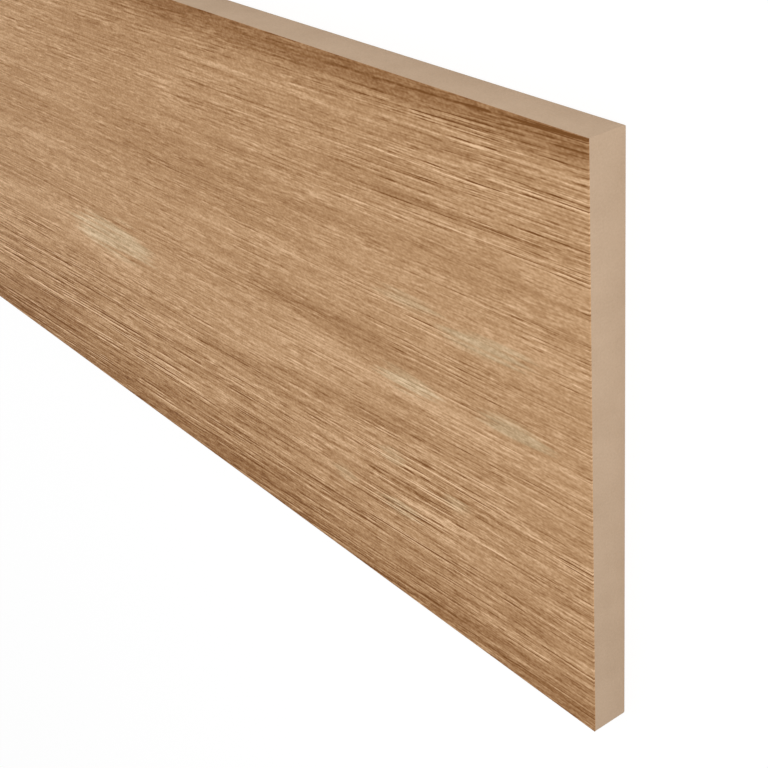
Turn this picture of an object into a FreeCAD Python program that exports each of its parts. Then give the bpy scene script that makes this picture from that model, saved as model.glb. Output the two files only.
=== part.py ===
# Stair riser board: a fibreboard core with a wood-grain decor laminate bonded to its show face.
# The board lies flat on its back with the show face up. All sizes are in millimetres.
# +X runs along the board, +Y from its bottom edge to its top edge, +Z out of the show face.
# The origin is the middle of the back face.

import FreeCAD
import Part
import Sketcher
import os

OUT_FOLDER = "parts"
SHEET = "Sizes"

# Driving dimensions, which fill the document's spreadsheet.
SIZES = {
    "board_length": 1193.8,  # 47 in stock length, across the stair
    "riser_height": 187.3,  # 7 3/8 in, from one tread up to the underside of the next
    "board_thickness": 12.7,  # 1/2 in, core and laminate together
    "laminate_thickness": 0.4,  # decor paper, overlay and glue line, pressed
    "back_arris": 0.4,  # sanded bevel on the core's two long back edges
    "trim_bevel": 0.15,  # bevel that the trimming cutter leaves along the laminate
}
RISER_HEIGHT = f"{SHEET}.riser_height"
CORE_THICKNESS = f"{SHEET}.board_thickness - {SHEET}.laminate_thickness"

# Sketcher's own numbers for the ends of a line and for the sketch's axes.
START, END = 1, 2
H_AXIS, V_AXIS = -1, -2


def make_sheet(doc):
    """Puts each driving dimension in a cell whose alias is its name."""
    sheet = doc.addObject("Spreadsheet::Sheet", SHEET)
    for row, (alias, size) in enumerate(SIZES.items(), start=1):
        sheet.set(f"A{row}", alias)
        sheet.set(f"B{row}", str(size))
        sheet.setAlias(f"B{row}", alias)
    doc.recompute()


def drive(sketch, name, kind, first, second, expression):
    """Adds a named distance between the starts of two lines and binds it to the sheet."""
    value = sketch.evalExpression(expression)
    index = sketch.addConstraint(Sketcher.Constraint(kind, first, START, second, START, value))
    sketch.renameConstraint(index, name)
    sketch.setExpression(f"Constraints.{name}", expression)


def bevelled_section(body, thickness, bevel, bevel_on_top):
    """The board's cross-section on the YZ plane: a rectangle standing on the sketch's horizontal
    axis and centred on the vertical one, with a bevel at both ends of its top or its bottom side."""
    sketch = body.newObject("Sketcher::SketchObject", f"{body.Name}_section")
    yz_plane = next(f for f in body.Origin.OriginFeatures if f.Role == "YZ_Plane")
    sketch.AttachmentSupport = [(yz_plane, "")]
    sketch.MapMode = "FlatFace"

    # The outline runs from the square side round to the bevelled one.
    half_width = sketch.evalExpression(RISER_HEIGHT) / 2
    flat_half_width = half_width - sketch.evalExpression(bevel)
    square_side, bevelled_side = 0, sketch.evalExpression(thickness)
    bevel_foot = bevelled_side - sketch.evalExpression(bevel)
    if not bevel_on_top:
        square_side, bevelled_side, bevel_foot = bevelled_side, 0, sketch.evalExpression(bevel)
    outline = [
        (half_width, square_side),
        (-half_width, square_side),
        (-half_width, bevel_foot),
        (-flat_half_width, bevelled_side),
        (flat_half_width, bevelled_side),
        (half_width, bevel_foot),
    ]
    square_right, square_left, wall_left, flat_left, flat_right, wall_right = range(len(outline))
    points = [FreeCAD.Vector(y, z, 0) for y, z in outline]
    for side, point in enumerate(points):
        following = (side + 1) % len(points)
        sketch.addGeometry(Part.LineSegment(point, points[following]))
    for side in range(len(points)):
        following = (side + 1) % len(points)
        sketch.addConstraint(Sketcher.Constraint("Coincident", side, END, following, START))

    pairs = [(square_right, square_left), (wall_right, wall_left), (flat_right, flat_left)]
    for right, left in pairs:
        sketch.addConstraint(Sketcher.Constraint("Symmetric", right, START, left, START, V_AXIS))
    sketch.addConstraint(Sketcher.Constraint("Vertical", wall_right))

    lower, upper = (square_right, flat_right) if bevel_on_top else (flat_right, square_right)
    low_end, high_end = (wall_right, flat_right) if bevel_on_top else (flat_right, wall_right)
    sketch.addConstraint(Sketcher.Constraint("PointOnObject", lower, START, H_AXIS))
    drive(sketch, "width", "DistanceX", square_left, square_right, RISER_HEIGHT)
    drive(sketch, "thickness", "DistanceY", lower, upper, thickness)
    drive(sketch, "bevel_run", "DistanceX", flat_right, wall_right, bevel)
    drive(sketch, "bevel_rise", "DistanceY", low_end, high_end, bevel)
    return sketch


def cut_to_length(body, section):
    """Runs the section along the board, half its length each way."""
    pad = body.newObject("PartDesign::Pad", f"{body.Name}_length")
    pad.Profile = section
    pad.SideType = "Symmetric"
    pad.setExpression("Length", f"{SHEET}.board_length")
    section.Visibility = False


def make_core(doc):
    """The fibreboard core. It lies on its back, whose two long edges are eased."""
    body = doc.addObject("PartDesign::Body", "fibreboard_core")
    cut_to_length(body, bevelled_section(body, CORE_THICKNESS, f"{SHEET}.back_arris", bevel_on_top=False))
    return body


def make_laminate(doc):
    """The decor laminate, bonded to the core's face and trimmed flush with its long edges."""
    body = doc.addObject("PartDesign::Body", "decor_laminate")
    thickness = f"{SHEET}.laminate_thickness"
    cut_to_length(body, bevelled_section(body, thickness, f"{SHEET}.trim_bevel", bevel_on_top=True))
    body.setExpression("Placement.Base.z", CORE_THICKNESS)
    return body


def check(doc, bodies):
    """Stops before anything is written if a feature failed or a sub-part isn't one sound solid."""
    for item in doc.Objects:
        if {"Invalid", "Error"} & set(item.State):
            raise RuntimeError(f"{item.Label} failed: {item.State}")
    for body in bodies:
        if body.Shape.isNull() or not body.Shape.isValid() or len(body.Shape.Solids) != 1:
            raise RuntimeError(f"{body.Label} is not one valid solid")


def main():
    doc = FreeCAD.newDocument("stair_riser_board")
    make_sheet(doc)
    bodies = [make_core(doc), make_laminate(doc)]
    doc.recompute()
    check(doc, bodies)
    os.makedirs(OUT_FOLDER, exist_ok=True)
    for body in bodies:
        body.Shape.exportStep(os.path.join(OUT_FOLDER, f"{body.Label}.step"))
        box = body.Shape.BoundBox
        size = f"{box.XLength:.2f} x {box.YLength:.2f} x {box.ZLength:.2f} mm"
        print(body.Label, size, f"{body.Shape.Volume:.0f} mm3")


main()
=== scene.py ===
# Stair riser board: an oak-grain decor laminate over a bare fibreboard core, lying face up on a pale floor.
# +X runs along the board, +Y from its bottom edge to its top edge, +Z out of the show face.

from math import radians, tan

import bmesh
import bpy
from mathutils import Matrix, Vector


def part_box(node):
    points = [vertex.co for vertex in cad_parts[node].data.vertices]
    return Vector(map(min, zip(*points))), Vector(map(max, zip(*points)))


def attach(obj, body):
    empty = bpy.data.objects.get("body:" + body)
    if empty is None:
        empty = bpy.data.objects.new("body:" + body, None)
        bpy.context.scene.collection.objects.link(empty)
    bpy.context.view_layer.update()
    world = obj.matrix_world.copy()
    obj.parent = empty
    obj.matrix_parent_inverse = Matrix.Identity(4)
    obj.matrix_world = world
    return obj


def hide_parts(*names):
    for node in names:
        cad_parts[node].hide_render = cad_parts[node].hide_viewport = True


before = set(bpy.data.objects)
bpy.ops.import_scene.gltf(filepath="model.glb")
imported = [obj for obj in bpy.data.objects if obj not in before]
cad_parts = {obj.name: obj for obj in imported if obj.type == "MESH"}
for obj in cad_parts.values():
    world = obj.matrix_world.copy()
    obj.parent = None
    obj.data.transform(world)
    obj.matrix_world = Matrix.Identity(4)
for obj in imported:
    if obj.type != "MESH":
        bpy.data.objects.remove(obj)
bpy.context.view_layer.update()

MM = 0.001
WHITE = (1.0, 1.0, 1.0, 1.0)

# The boxes of the two pieces that the board is made of, and the sides of its face in millimetres.
FACE_LOW, FACE_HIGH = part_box("decor_laminate")
CORE_LOW, CORE_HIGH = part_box("fibreboard_core")
NEAR_END_MM = FACE_HIGH.x / MM
TOP_EDGE_MM = FACE_HIGH.y / MM
BOTTOM_EDGE_MM = FACE_LOW.y / MM
FACE_LEVEL_MM = FACE_HIGH.z / MM

# Edges, as the saw, the trimming cutter and the sander leave them.
TRIM_BEVEL = 0.15 * MM
BACK_ARRIS = 0.4 * MM
SAWN_ARRIS = 0.15 * MM
ARRIS_STEPS = 2
SMOOTH_ANGLE = radians(30)

# The embossed face is a grid of cells, long along the grain and narrow across it.
EMBOSS_COLUMNS, EMBOSS_ROWS = 300, 312
EMBOSS_DEPTH_MM = 0.04

# Noise lies about zero: how far most of it reaches either way, and how far it can reach.
NOISE_SPREAD, NOISE_LIMIT = 0.3, 0.6

# The grain climbs towards the near end, more along the bottom edge than along the top one.
CLIMB_AT_BOTTOM = tan(radians(2.7))
CLIMB_AT_TOP = tan(radians(1.3))

# It sways as it goes: the amount, the length and the width of the sway, in millimetres.
SWAY_AMOUNT, SWAY_LENGTH, SWAY_WIDTH, SWAY_SEED = 2.5, 260.0, 60.0, 0.7

# The face has a lined top, a calm middle and a banded bottom. Each gives way to the next over these
# millimetres from the top edge, and amounts in threes below are for the three parts in that order.
TOP_TO_MIDDLE = (26.0, 44.0)
MIDDLE_TO_BOTTOM = (112.0, 138.0)

# A screen's curve from a channel's level to light: full level, straight start, and power beyond it.
FULL_LEVEL = 255.0
CURVE_START, CURVE_SLOPE = 0.04045, 12.92
CURVE_OFFSET, CURVE_POWER = 0.055, 2.4

# Tones of the decor are grey levels from 0 to 255, and each level has one colour of the print.
MEAN_TONE = 150.5
PRINT_COLOURS = (
    (80.0, (116.0, 73.0, 34.0)),
    (110.0, (146.0, 104.0, 65.0)),
    (150.0, (185.0, 145.3, 105.5)),
    (205.0, (237.0, 199.0, 160.0)),
)

# Streaks of the print, down to a fine speckle: length and width in millimetres, changes of tone, and seed.
BANDS = (60.0, 2.6, (12.0, 9.0, 27.0), 11.3)
STREAKS = (
    (300.0, 22.0, (6.0, 7.0, 7.0), 1.9),
    (90.0, 13.0, (5.0, 4.0, 4.0), 6.1),
    (60.0, 6.5, (12.0, 9.0, 3.0), 4.3),
    (90.0, 6.0, (0.0, 0.0, 4.0), 8.7),
    BANDS,
    (34.0, 2.0, (8.0, 7.0, 14.0), 71.4),
    (18.0, 1.3, (12.0, 12.0, 19.0), 13.8),
    (2.2, 0.6, (10.0, 9.0, 12.0), 83.5),
    (1.1, 0.6, (20.0, 19.0, 22.0), 29.6),
)

# Short fine streaks, given in the same way. They come and go in patches.
FINE_STREAKS = (
    (9.0, 0.8, (14.0, 14.0, 19.0), 17.9),
    (5.5, 0.6, (17.0, 19.0, 23.0), 41.2),
)
PATCH_LENGTH, PATCH_WIDTH, PATCH_SEED = 14.0, 4.5, 91.2
PATCH_WEAK, PATCH_STRONG = 0.4, 1.5

# Sets of thin fibre lines: spacing and run in millimetres, changes of tone on the line, and seed.
FIBRE_LINES = (
    (1.9, 24.0, (-36.0, -19.0, -26.0), 23.1),
    (1.25, 13.0, (-34.0, -26.0, -46.0), 31.7),
    (3.0, 36.0, (-24.0, -12.0, -28.0), 37.2),
)

# Where a line and the painted highlight below it lie in one spacing, and half their width, as shares of it.
# The painted highlight stands in for the lit lower wall of a pressed groove.
LINE_MIDDLE, HIGHLIGHT_MIDDLE, LINE_HALF_WIDTH = 0.66, 0.3, 0.18
# How bright the painted highlight below each line is, as a share of the line's change of tone.
PAINTED_HIGHLIGHT_SHARE = 0.7

# Lines drift aside by this share of a spacing, over so many runs along and so many spacings across.
LINE_DRIFT, DRIFT_RUNS, DRIFT_SPACINGS = 0.9, 5.0, 4.0

# Each line gains and loses strength by noise of its own, whose cells are this many lines wide, down to
# its least strength.
OWN_NOISE_LINES, OWN_NOISE_SEED = 1.37, 0.5
LEAST_STRENGTH = 0.25

# Lines gather in bundles and break off here and there. They fade towards the bottom edge, and lose their
# painted highlights by the top one.
BUNDLE_LENGTH, BUNDLE_WIDTH, BUNDLE_SEED = 45.0, 5.0, 51.6
BUNDLE_WEAK, BUNDLE_STRONG = (0.55, 0.3, 0.3), (1.3, 1.5, 1.5)
BREAK_LENGTH, BREAK_WIDTH, BREAK_SEED = 6.5, 0.9, 57.3
BREAK_WEAK, BREAK_STRONG = 0.5, 1.4
LINE_STRENGTH = (0.46, 0.5, 0.92)
BOTTOM_FADE, BOTTOM_FADE_TO = 0.75, 24.0
TOP_HIGHLIGHT_SHARE, TOP_HIGHLIGHT_TO = 0.15, 13.0

# Zones where lines are stronger or weaker: millimetres from the near end and from the top edge to the
# middle, half the length and half the width, and the change of strength.
LINE_ZONES = (
    (0.0, 18.0, 110.0, 30.0, 0.95),
    (0.0, 85.0, 140.0, 50.0, 0.45),
    (320.0, 72.0, 110.0, 30.0, -0.2),
    (50.0, 131.0, 75.0, 11.0, 0.5),
    (220.0, 134.0, 110.0, 11.0, -0.3),
    (150.0, 142.0, 65.0, 22.0, -0.45),
    (20.0, 150.0, 50.0, 9.0, -0.4),
    (45.0, 175.0, 95.0, 16.0, -0.45),
    (315.0, 162.0, 110.0, 28.0, 0.85),
)

# Paler and darker zones of the print, given in the same way, with the change of tone.
TONE_ZONES = (
    (35.0, 84.0, 70.0, 32.0, 5.0),
    (65.0, 66.0, 70.0, 11.0, 4.0),
    (230.0, 108.0, 270.0, 7.0, 8.0),
    (282.0, 110.0, 60.0, 10.0, 8.0),
    (80.0, 101.5, 45.0, 6.0, 4.0),
    (365.0, 82.5, 110.0, 3.2, 15.0),
    (390.0, 117.0, 60.0, 5.0, 9.0),
    (130.0, 78.0, 75.0, 8.0, 6.0),
    (243.0, 129.0, 50.0, 3.0, 9.0),
    (165.0, 116.0, 50.0, 6.0, 6.0),
    (300.0, 122.0, 70.0, 9.0, 8.0),
    (125.0, 27.0, 55.0, 8.0, 7.0),
    (190.0, 40.0, 85.0, 5.0, 7.0),
    (312.0, 42.0, 45.0, 4.0, 9.0),
    (20.0, 10.0, 40.0, 2.0, 12.0),
    (55.0, 15.7, 60.0, 1.3, -12.0),
    (100.0, 91.0, 90.0, 5.0, -10.0),
    (190.0, 58.0, 95.0, 20.0, -11.0),
    (265.0, 72.0, 50.0, 5.0, -8.0),
    (215.0, 31.0, 40.0, 4.0, -7.0),
    (207.0, 89.0, 45.0, 5.0, -6.0),
    (68.0, 53.0, 45.0, 2.5, -9.0),
    (50.0, 34.3, 75.0, 1.4, -18.0),
    (105.0, 120.0, 35.0, 6.0, -9.0),
    (20.0, 137.0, 40.0, 4.0, -9.0),
    (20.0, 160.0, 45.0, 6.0, 7.0),
    (185.0, 131.0, 60.0, 9.0, -12.0),
    (265.0, 147.0, 90.0, 9.0, -7.0),
    (148.0, 143.0, 35.0, 3.5, -9.0),
    (158.0, 160.0, 60.0, 14.0, -10.0),
    (230.0, 174.0, 60.0, 8.0, 11.0),
    (353.0, 168.0, 48.0, 13.0, -13.0),
    (124.0, 182.0, 35.0, 4.0, -8.0),
    (170.0, 10.5, 110.0, 4.5, -10.0),
)

# Pale flecks of greyer, yellower print, given in the same way, with their strength.
FLECKS = (
    (42.0, 72.0, 24.0, 4.0, 1.0),
    (76.0, 69.5, 20.0, 3.5, 0.7),
    (32.0, 95.5, 20.0, 4.5, 1.0),
    (82.0, 99.0, 20.0, 5.0, 1.0),
    (277.0, 110.0, 38.0, 9.0, 1.0),
    (90.0, 150.0, 14.0, 3.5, 0.7),
    (60.0, 135.0, 9.0, 3.5, 0.6),
    (92.5, 131.0, 9.0, 3.5, 0.6),
    (121.5, 151.0, 9.0, 3.5, 0.6),
)
FLECK_TONE = 5.0
SAME_HUE, FLECK_HUE = 0.5, 0.512
FLECK_SATURATION = 0.88

# The outlines of zones and flecks are ragged along the grain.
RAGGED_LENGTH, RAGGED_WIDTH, RAGGED_SEED = 40.0, 1.5, 61.9
RAGGEDNESS = 0.9

# Painted shade: the decor's colour is darkened towards its top and bottom edges, where shade falls along
# the long edges.
TOP_PAINTED_SHADE, TOP_SHADE_FROM, TOP_SHADE_TO = -40.0, 1.0, 13.0
BOTTOM_PAINTED_SHADE, BOTTOM_SHADE_TO, BOTTOM_SHADE_POWER = -31.0, 46.0, 1.7

# Depth of the pressed lines in millimetres, and the gloss of the sealed print.
LINE_DEPTH_MM = 0.02
OPEN_ROUGHNESS, LINE_ROUGHNESS = 0.6, 0.75
PRINT_SPECULAR = 0.08

# Bare fibreboard: the size of its mottle, the size and depth of its fibres, its colours and its gloss.
MOTTLE_SIZE_MM, FIBRE_SIZE_MM = 11.1, 0.625
FIBRE_DEPTH_MM = 0.06
FIBREBOARD_DETAIL = 2.0
FIBREBOARD_COLOURS = (
    (0.3, (175.0, 150.0, 125.0)),
    (0.7, (187.0, 162.0, 137.0)),
)
FIBREBOARD_ROUGHNESS, FIBREBOARD_SPECULAR = 0.85, 0.15

# Floor and light, in metres and watts.
FLOOR_SIZE, FLOOR_LEVEL = 12.0, -0.0001
FLOOR_MATTE = (0.75, 0.75, 0.75, 1.0)
FLOOR_WHITE, SHADOW_SHARE = 1.03, 0.2
AMBIENT, BACKGROUND = 0.6, 1.0
LAMP_WAY, LAMP_DISTANCE = Vector((0.66, 0.5, 0.56)), 3.2
LAMP_SIZE, LAMP_POWER = 1.2, 70.0

# Camera, by the near bottom corner of the show face, in metres. Its lens and sensor are in millimetres.
CAMERA_OFFSET = Vector((0.24322, 0.3146, 0.23481))
CAMERA_AIM = Vector((-0.71379, -0.49254, -0.4979))
CAMERA_UP = Vector((-0.35123, 0.86681, -0.35395))
CAMERA_LENS, CAMERA_SENSOR = 69.75, 36.0
CAMERA_NEAREST = 0.01


# Small helpers

def deselect():
    """An operator acts on all that is selected, so each piece starts with nothing selected."""
    if bpy.context.object and bpy.context.object.mode != "OBJECT":
        bpy.ops.object.mode_set(mode="OBJECT")
    bpy.ops.object.select_all(action="DESELECT")


def select_edges(piece, wanted):
    """In edit mode, selects the edges whose middle and direction the test accepts."""
    mesh = bmesh.from_edit_mesh(piece.data)
    bpy.ops.mesh.select_mode(type="EDGE")
    bpy.ops.mesh.select_all(action="DESELECT")
    for edge in mesh.edges:
        start, end = (vert.co for vert in edge.verts)
        edge.select_set(wanted((start + end) / 2, end - start))
    mesh.select_flush_mode()
    bmesh.update_edit_mesh(piece.data)


def add_node(tree, kind, inputs=None, **settings):
    """Adds a node, with its settings, and fills its inputs with values or links."""
    node = tree.nodes.new(kind)
    for name, value in settings.items():
        setattr(node, name, value)
    for name, value in (inputs or {}).items():
        if isinstance(value, bpy.types.NodeSocket):
            tree.links.new(value, node.inputs[name])
        else:
            node.inputs[name].default_value = value
    return node


def calc(tree, operation, first, second=0.0, third=0.0):
    """The result of one Math node."""
    return add_node(tree, "ShaderNodeMath", {0: first, 1: second, 2: third}, operation=operation).outputs[0]


def remap(tree, value, from_low, from_high, to_low, to_high, shape="SMOOTHSTEP"):
    """A value carried from one range to another, and held at its ends."""
    inputs = {
        "Value": value,
        "From Min": from_low,
        "From Max": from_high,
        "To Min": to_low,
        "To Max": to_high,
    }
    return add_node(tree, "ShaderNodeMapRange", inputs, interpolation_type=shape).outputs[0]


def spread(tree, noise, low, high):
    """Noise carried to a range, so that it covers all of it."""
    return remap(tree, noise, -NOISE_SPREAD, NOISE_SPREAD, low, high)


def new_material(name):
    """A material whose tree holds one Principled shader, which is returned with the tree."""
    material = bpy.data.materials.new(name)
    material.use_nodes = True
    shader = material.node_tree.nodes["Principled BSDF"]
    return material, material.node_tree, shader


def in_millimetres(tree, position):
    """A position that is given in metres."""
    inputs = {0: position, "Scale": 1 / MM}
    return add_node(tree, "ShaderNodeVectorMath", inputs, operation="SCALE").outputs[0]


def linear(level):
    """A channel from 0 to 255, as seen on a screen, as light."""
    share = level / FULL_LEVEL
    if share <= CURVE_START:
        return share / CURVE_SLOPE
    return ((share + CURVE_OFFSET) / (1.0 + CURVE_OFFSET)) ** CURVE_POWER


def colour_scale(tree, value, colours):
    """The colour for a value, between the colours that are given for some values."""
    low, high = colours[0][0], colours[-1][0]
    ramp = add_node(tree, "ShaderNodeValToRGB", {0: remap(tree, value, low, high, 0.0, 1.0, "LINEAR")})
    stops = ramp.color_ramp.elements
    halfway = 0.5
    while len(stops) < len(colours):
        stops.new(halfway)
    for stop, (level, colour) in zip(stops, colours):
        stop.position = (level - low) / (high - low)
        stop.color = (*map(linear, colour), 1.0)
    return ramp.outputs[0]


def mix_shaders(tree, share, first, second):
    """Two shaders mixed, with this share of the second."""
    inputs = {0: share, 1: first.outputs[0], 2: second.outputs[0]}
    return add_node(tree, "ShaderNodeMixShader", inputs)


# The grain, which the print and the embossing share

def climb_at(height_mm):
    """How far the grain climbs for each millimetre along the board, at a height."""
    share = (height_mm - BOTTOM_EDGE_MM) / (TOP_EDGE_MM - BOTTOM_EDGE_MM)
    return CLIMB_AT_BOTTOM + share * (CLIMB_AT_TOP - CLIMB_AT_BOTTOM)


def streaks(tree, along, across, length, width, seed):
    """Noise drawn out along the grain, with streaks of that length and width in millimetres."""
    point = add_node(tree, "ShaderNodeCombineXYZ", {
        0: calc(tree, "DIVIDE", along, length),
        1: calc(tree, "DIVIDE", across, width),
        2: seed,
    })
    inputs = {"Vector": point.outputs[0], "Scale": 1.0, "Detail": 0.0}
    return add_node(tree, "ShaderNodeTexNoise", inputs, normalize=False).outputs[0]


def grain_lines(tree, position):
    """A position in millimetres: from the near end, across the grain, up the board and out of its back."""
    position_mm = in_millimetres(tree, position)
    along, height, depth = add_node(tree, "ShaderNodeSeparateXYZ", {0: position_mm}).outputs
    from_near = calc(tree, "SUBTRACT", NEAR_END_MM, along)
    climb = remap(tree, height, BOTTOM_EDGE_MM, TOP_EDGE_MM, CLIMB_AT_BOTTOM, CLIMB_AT_TOP, "LINEAR")
    straight = calc(tree, "MULTIPLY_ADD", from_near, climb, height)
    sway = streaks(tree, from_near, straight, SWAY_LENGTH, SWAY_WIDTH, SWAY_SEED)
    across = calc(tree, "MULTIPLY_ADD", sway, SWAY_AMOUNT, straight)
    return from_near, across, height, depth


def face_parts(tree, height):
    """How much a height belongs to the top, the middle and the bottom part of the face."""
    from_top = calc(tree, "SUBTRACT", TOP_EDGE_MM, height)
    past_top = remap(tree, from_top, *TOP_TO_MIDDLE, 0.0, 1.0)
    past_middle = remap(tree, from_top, *MIDDLE_TO_BOTTOM, 0.0, 1.0)
    shares = {
        0: calc(tree, "SUBTRACT", 1.0, past_top),
        1: calc(tree, "SUBTRACT", past_top, past_middle),
        2: past_middle,
    }
    return add_node(tree, "ShaderNodeCombineXYZ", shares).outputs[0]


def by_part(tree, parts, amounts):
    """The amount for where a point lies among the three parts of the face."""
    inputs = {0: parts, 1: amounts}
    return add_node(tree, "ShaderNodeVectorMath", inputs, operation="DOT_PRODUCT").outputs["Value"]


def fibre_lines(tree, along, across, spacing, run, seed):
    """Thin lines about one spacing apart, stronger in places, and a painted highlight below each, for the
    lit side of a pressed groove.
    """
    drift = streaks(tree, along, across, run * DRIFT_RUNS, spacing * DRIFT_SPACINGS, seed)
    count = calc(tree, "MULTIPLY_ADD", drift, LINE_DRIFT, calc(tree, "DIVIDE", across, spacing))
    number = calc(tree, "FLOOR", count)
    share = calc(tree, "FRACT", count)
    own_noise = streaks(tree, along, number, run, OWN_NOISE_LINES, seed + OWN_NOISE_SEED)
    strength = spread(tree, own_noise, LEAST_STRENGTH, 1.0)
    sides = []
    for middle in (LINE_MIDDLE, HIGHLIGHT_MIDDLE):
        off_middle = calc(tree, "ABSOLUTE", calc(tree, "SUBTRACT", share, middle))
        profile = remap(tree, off_middle, 0.0, LINE_HALF_WIDTH, 1.0, 0.0)
        sides.append(calc(tree, "MULTIPLY", profile, strength))
    return sides


# Pieces

def model_decor_face():
    """The decor laminate: a fine grid over the show face with a trimmed rim, embossed along its grain."""
    length, width = FACE_HIGH.x - FACE_LOW.x, FACE_HIGH.y - FACE_LOW.y
    thickness = FACE_HIGH.z - FACE_LOW.z
    flat_width = width - 2 * TRIM_BEVEL
    deselect()
    bpy.ops.mesh.primitive_grid_add(
        x_subdivisions=EMBOSS_COLUMNS, y_subdivisions=EMBOSS_ROWS, size=1, location=(0, 0, FACE_HIGH.z)
    )
    piece = bpy.context.object
    piece.name = "oak_decor_face"
    bpy.ops.object.mode_set(mode="EDIT")
    bpy.ops.transform.resize(value=(length, flat_width, 1))

    # The rim slopes out along the long edges, then goes straight down to the glue line.
    bpy.ops.mesh.select_mode(type="EDGE")
    bpy.ops.mesh.select_all(action="DESELECT")
    bpy.ops.mesh.select_non_manifold()
    bpy.ops.mesh.extrude_region_move(TRANSFORM_OT_translate={"value": (0, 0, -TRIM_BEVEL)})
    bpy.ops.transform.resize(value=(1, width / flat_width, 1))
    bpy.ops.mesh.extrude_region_move(TRANSFORM_OT_translate={"value": (0, 0, TRIM_BEVEL - thickness)})
    bpy.ops.mesh.edge_face_add()
    bpy.ops.mesh.select_all(action="SELECT")
    bpy.ops.mesh.normals_make_consistent(inside=False)
    bpy.ops.object.mode_set(mode="OBJECT")
    bpy.ops.object.transform_apply(location=True, rotation=True, scale=True)

    emboss = piece.modifiers.new("grain_emboss", "NODES")
    emboss.node_group = grain_emboss()
    bpy.ops.object.modifier_apply(modifier=emboss.name)
    bpy.ops.object.shade_smooth_by_angle(angle=SMOOTH_ANGLE)
    return piece


def grain_emboss():
    """Sinks the face along its bands, never above the flat laminate."""
    tree = bpy.data.node_groups.new("grain_emboss", "GeometryNodeTree")
    tree.interface.new_socket("Geometry", in_out="INPUT", socket_type="NodeSocketGeometry")
    tree.interface.new_socket("Geometry", in_out="OUTPUT", socket_type="NodeSocketGeometry")
    before = add_node(tree, "NodeGroupInput").outputs[0]
    position = add_node(tree, "GeometryNodeInputPosition").outputs[0]
    along, across, _, level = grain_lines(tree, position)
    length, width, _, seed = BANDS
    bands = streaks(tree, along, across, length, width, seed)
    sink = remap(tree, bands, -NOISE_LIMIT, NOISE_LIMIT, -EMBOSS_DEPTH_MM * MM, 0.0, "LINEAR")
    shift = add_node(tree, "ShaderNodeCombineXYZ", {2: sink}).outputs[0]
    half_bevel_mm = TRIM_BEVEL / MM / 2
    on_face = calc(tree, "GREATER_THAN", level, FACE_LEVEL_MM - half_bevel_mm)
    inputs = {"Geometry": before, "Selection": on_face, "Offset": shift}
    after = add_node(tree, "GeometryNodeSetPosition", inputs).outputs[0]
    add_node(tree, "NodeGroupOutput", {0: after})
    return tree


def model_fibreboard():
    """The fibreboard core: a sawn board with its back edges sanded and its cut edges just eased."""
    deselect()
    bpy.ops.mesh.primitive_cube_add(
        size=1, location=(CORE_LOW + CORE_HIGH) / 2, scale=CORE_HIGH - CORE_LOW
    )
    piece = bpy.context.object
    piece.name = "sawn_fibreboard"
    bpy.ops.object.transform_apply(location=True, rotation=True, scale=True)
    bpy.ops.object.mode_set(mode="EDIT")
    halfway_z = (CORE_LOW.z + CORE_HIGH.z) / 2
    select_edges(piece, lambda middle, way: middle.z < halfway_z and abs(way.x) > abs(way.y))
    bpy.ops.mesh.bevel(offset=BACK_ARRIS, segments=ARRIS_STEPS, affect="EDGES")
    end_x = CORE_HIGH.x - SAWN_ARRIS
    glue_line_z = CORE_HIGH.z - SAWN_ARRIS
    select_edges(piece, lambda middle, way: abs(middle.x) > end_x and middle.z < glue_line_z)
    bpy.ops.mesh.bevel(offset=SAWN_ARRIS, segments=ARRIS_STEPS, affect="EDGES")
    bpy.ops.object.mode_set(mode="OBJECT")
    bpy.ops.object.shade_smooth_by_angle(angle=SMOOTH_ANGLE)
    return piece


# Finishes

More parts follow.
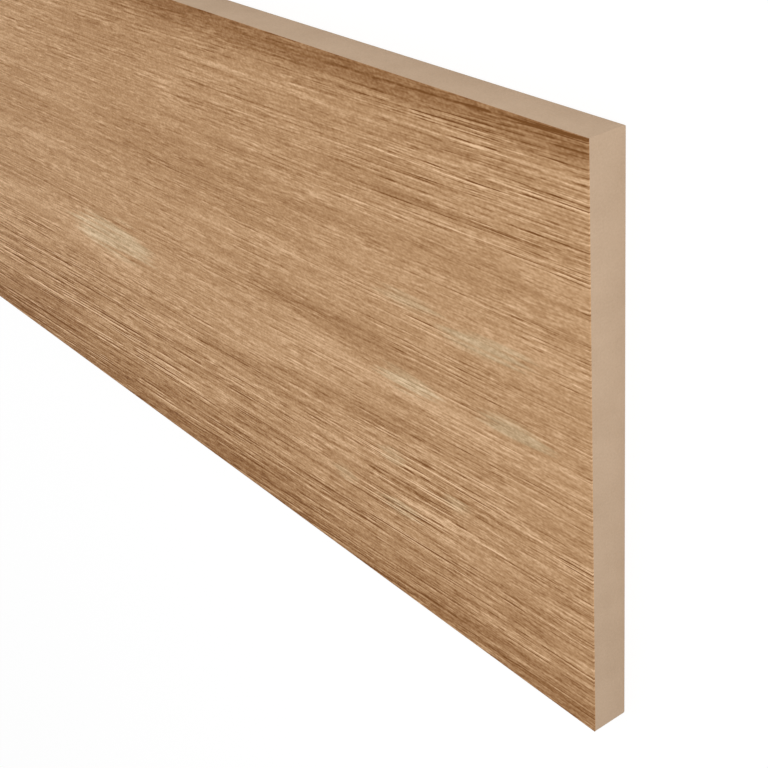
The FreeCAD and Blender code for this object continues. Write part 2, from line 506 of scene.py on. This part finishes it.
def oak_decor():
    """Printed oak: streaks and speckle, thin fibre lines with painted highlights below them, paler and
    darker zones, pale flecks, and painted shade by the long edges.
    """
    material, tree, shader = new_material("oak_decor")
    position = add_node(tree, "ShaderNodeTexCoord").outputs["Object"]
    along, across, height, _ = grain_lines(tree, position)
    parts = face_parts(tree, height)
    ragged = streaks(tree, along, across, RAGGED_LENGTH, RAGGED_WIDTH, RAGGED_SEED)

    # The mean tone, darkened by painted shade towards the top and bottom edges.
    tone = calc(tree, "ADD", painted_edge_shade(tree, height), MEAN_TONE)
    tone = add_zones(tree, along, across, ragged, TONE_ZONES, tone)
    tone = add_streaks(tree, along, across, parts, STREAKS, 1.0, tone)
    patches = streaks(tree, along, across, PATCH_LENGTH, PATCH_WIDTH, PATCH_SEED)
    patches = spread(tree, patches, PATCH_WEAK, PATCH_STRONG)
    tone = add_streaks(tree, along, across, parts, FINE_STREAKS, patches, tone)

    busyness = line_busyness(tree, along, across, height, parts, ragged)
    from_top = calc(tree, "SUBTRACT", TOP_EDGE_MM, height)
    # Painted highlight below each line: its share of the line's change of tone, smaller by the top edge.
    highlight_share = remap(tree, from_top, 0.0, TOP_HIGHLIGHT_TO, -TOP_HIGHLIGHT_SHARE, -PAINTED_HIGHLIGHT_SHARE)
    sunk = 0.0
    for spacing, run, changes, seed in FIBRE_LINES:
        line, painted_highlight = fibre_lines(tree, along, across, spacing, run, seed)
        pair = calc(tree, "MULTIPLY_ADD", painted_highlight, highlight_share, line)
        shading = calc(tree, "MULTIPLY", pair, by_part(tree, parts, changes))
        tone = calc(tree, "MULTIPLY_ADD", shading, busyness, tone)
        sunk = calc(tree, "ADD", line, sunk)

    paleness = add_zones(tree, along, across, ragged, FLECKS, 0.0)
    tone = calc(tree, "MULTIPLY_ADD", paleness, FLECK_TONE, tone)
    inputs = {
        "Color": colour_scale(tree, tone, PRINT_COLOURS),
        "Hue": remap(tree, paleness, 0.0, 1.0, SAME_HUE, FLECK_HUE, "LINEAR"),
        "Saturation": remap(tree, paleness, 0.0, 1.0, 1.0, FLECK_SATURATION, "LINEAR"),
    }
    colour = add_node(tree, "ShaderNodeHueSaturation", inputs).outputs[0]
    tree.links.new(colour, shader.inputs["Base Color"])

    relief = calc(tree, "MULTIPLY", sunk, -1.0)
    inputs = {"Height": relief, "Strength": 1.0, "Distance": LINE_DEPTH_MM * MM}
    tree.links.new(add_node(tree, "ShaderNodeBump", inputs).outputs[0], shader.inputs["Normal"])
    roughness = remap(tree, sunk, 0.0, 1.0, OPEN_ROUGHNESS, LINE_ROUGHNESS, "LINEAR")
    tree.links.new(roughness, shader.inputs["Roughness"])
    shader.inputs["Specular IOR Level"].default_value = PRINT_SPECULAR
    return material


def painted_edge_shade(tree, height):
    """How much painted shade darkens the decor's colour towards its top and bottom edges."""
    from_top = calc(tree, "SUBTRACT", TOP_EDGE_MM, height)
    from_bottom = calc(tree, "SUBTRACT", height, BOTTOM_EDGE_MM)
    top = remap(tree, from_top, TOP_SHADE_FROM, TOP_SHADE_TO, TOP_PAINTED_SHADE, 0.0)
    nearness = remap(tree, from_bottom, 0.0, BOTTOM_SHADE_TO, 1.0, 0.0, "LINEAR")
    bottom = calc(tree, "POWER", nearness, BOTTOM_SHADE_POWER)
    return calc(tree, "MULTIPLY_ADD", bottom, BOTTOM_PAINTED_SHADE, top)


def add_streaks(tree, along, across, parts, layers, gain, value):
    """A value with layers of streaks added to it, all with one gain."""
    for length, width, changes, seed in layers:
        amount = calc(tree, "MULTIPLY", by_part(tree, parts, changes), gain)
        noise = streaks(tree, along, across, length, width, seed)
        value = calc(tree, "MULTIPLY_ADD", noise, amount, value)
    return value


def add_zones(tree, along, across, ragged, zones, value):
    """A value with each zone's change added to it."""
    for *place, change in zones:
        value = calc(tree, "MULTIPLY_ADD", grain_zone(tree, along, across, ragged, *place), change, value)
    return value


def grain_zone(tree, along, across, ragged, from_near, from_top, half_length, half_width):
    """One in the middle of a zone and nought outside it. Its ragged outline runs with the grain."""
    height = TOP_EDGE_MM - from_top
    middle = height + climb_at(height) * from_near
    lengthways = calc(tree, "DIVIDE", calc(tree, "SUBTRACT", along, from_near), half_length)
    crossways = calc(tree, "DIVIDE", calc(tree, "SUBTRACT", across, middle), half_width)
    crossways_squared = calc(tree, "MULTIPLY", crossways, crossways)
    squared = calc(tree, "MULTIPLY_ADD", lengthways, lengthways, crossways_squared)
    reach = calc(tree, "MULTIPLY_ADD", ragged, RAGGEDNESS, squared)
    return remap(tree, reach, 0.0, 1.0, 1.0, 0.0)


def line_busyness(tree, along, across, height, parts, ragged):
    """How strongly the fibre lines show: by zone, more in bundles, and less where they break."""
    strength = by_part(tree, parts, LINE_STRENGTH)
    strength = add_zones(tree, along, across, ragged, LINE_ZONES, strength)
    bundles = streaks(tree, along, across, BUNDLE_LENGTH, BUNDLE_WIDTH, BUNDLE_SEED)
    weak, strong = by_part(tree, parts, BUNDLE_WEAK), by_part(tree, parts, BUNDLE_STRONG)
    breaks = streaks(tree, along, across, BREAK_LENGTH, BREAK_WIDTH, BREAK_SEED)
    from_bottom = calc(tree, "SUBTRACT", height, BOTTOM_EDGE_MM)
    factors = (
        spread(tree, bundles, weak, strong),
        spread(tree, breaks, BREAK_WEAK, BREAK_STRONG),
        remap(tree, from_bottom, 0.0, BOTTOM_FADE_TO, BOTTOM_FADE, 1.0),
    )
    for factor in factors:
        strength = calc(tree, "MULTIPLY", strength, factor)
    return strength


def bare_fibreboard():
    """Pressed wood fibre: pale tan, matte, with a faint mottle and short fibres."""
    material, tree, shader = new_material("bare_fibreboard")
    position = add_node(tree, "ShaderNodeTexCoord").outputs["Object"]
    inputs = {"Vector": in_millimetres(tree, position), "Detail": FIBREBOARD_DETAIL}
    mottle, fibres = (
        add_node(tree, "ShaderNodeTexNoise", {**inputs, "Scale": 1 / size}).outputs[0]
        for size in (MOTTLE_SIZE_MM, FIBRE_SIZE_MM)
    )
    average = calc(tree, "DIVIDE", calc(tree, "ADD", mottle, fibres), 2.0)
    tree.links.new(colour_scale(tree, average, FIBREBOARD_COLOURS), shader.inputs["Base Color"])
    inputs = {"Height": fibres, "Strength": 1.0, "Distance": FIBRE_DEPTH_MM * MM}
    tree.links.new(add_node(tree, "ShaderNodeBump", inputs).outputs[0], shader.inputs["Normal"])
    shader.inputs["Roughness"].default_value = FIBREBOARD_ROUGHNESS
    shader.inputs["Specular IOR Level"].default_value = FIBREBOARD_SPECULAR
    return material


# Stage

def seen_directly(tree):
    """One for rays that show the background itself, by sight, gloss or glass, and nought for light."""
    path = add_node(tree, "ShaderNodeLightPath").outputs
    either = calc(tree, "MAXIMUM", path["Is Camera Ray"], path["Is Glossy Ray"])
    return calc(tree, "MAXIMUM", either, path["Is Transmission Ray"])


def lay_floor():
    """A plain white floor, which still takes the board's soft shadow."""
    deselect()
    bpy.ops.mesh.primitive_plane_add(size=FLOOR_SIZE, location=(0, 0, FLOOR_LEVEL))
    floor = bpy.context.object
    floor.name = "floor"
    material, tree, shader = new_material("white_floor")
    tree.nodes.remove(shader)
    matte = add_node(tree, "ShaderNodeBsdfDiffuse", {"Color": FLOOR_MATTE})
    shaded = add_node(tree, "ShaderNodeBsdfDiffuse", {"Color": WHITE})
    white = add_node(tree, "ShaderNodeEmission", {"Color": WHITE, "Strength": FLOOR_WHITE})
    seen = mix_shaders(tree, SHADOW_SHARE, white, shaded)
    surface = mix_shaders(tree, seen_directly(tree), matte, seen)
    tree.links.new(surface.outputs[0], tree.nodes["Material Output"].inputs["Surface"])
    floor.data.materials.append(material)


def light_studio():
    """Even light from all round, and one large soft lamp beyond the near end, on the top edge's side."""
    world = bpy.data.worlds.new("studio")
    bpy.context.scene.world = world
    world.use_nodes = True
    tree = world.node_tree
    tree.nodes.clear()
    glow = add_node(tree, "ShaderNodeBackground", {"Color": WHITE, "Strength": AMBIENT})
    white = add_node(tree, "ShaderNodeBackground", {"Color": WHITE, "Strength": BACKGROUND})
    mixed = mix_shaders(tree, seen_directly(tree), glow, white)
    add_node(tree, "ShaderNodeOutputWorld", {0: mixed.outputs[0]})

    lamp = bpy.data.lights.new("soft_lamp", "AREA")
    lamp.shape = "DISK"
    lamp.size = LAMP_SIZE
    lamp.energy = LAMP_POWER
    holder = bpy.data.objects.new("soft_lamp", lamp)
    bpy.context.scene.collection.objects.link(holder)
    near_end = Vector((CORE_HIGH.x, 0, 0))
    holder.location = near_end + LAMP_WAY.normalized() * LAMP_DISTANCE
    holder.rotation_mode = "QUATERNION"
    holder.rotation_quaternion = (-LAMP_WAY).to_track_quat("-Z", "Y")


def set_camera():
    """The view along the board from beyond its near end, with the board's height upright in the picture."""
    camera = bpy.data.cameras.new("camera")
    camera.sensor_width = CAMERA_SENSOR
    camera.lens = CAMERA_LENS
    camera.clip_start = CAMERA_NEAREST
    holder = bpy.data.objects.new("camera", camera)
    bpy.context.scene.collection.objects.link(holder)
    back = -CAMERA_AIM.normalized()
    right = CAMERA_UP.cross(back).normalized()
    up = back.cross(right)
    turn = Matrix((right, up, back)).transposed().to_4x4()
    near_corner = Vector((FACE_HIGH.x, FACE_LOW.y, FACE_HIGH.z))
    holder.matrix_world = Matrix.Translation(near_corner + CAMERA_OFFSET) @ turn
    bpy.context.scene.camera = holder


face = model_decor_face()
face.data.materials.append(oak_decor())
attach(face, "root")
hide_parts("decor_laminate")

core = model_fibreboard()
core.data.materials.append(bare_fibreboard())
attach(core, "root")
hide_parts("fibreboard_core")

lay_floor()
light_studio()
set_camera()
bpy.context.scene.view_settings.view_transform = "Standard"
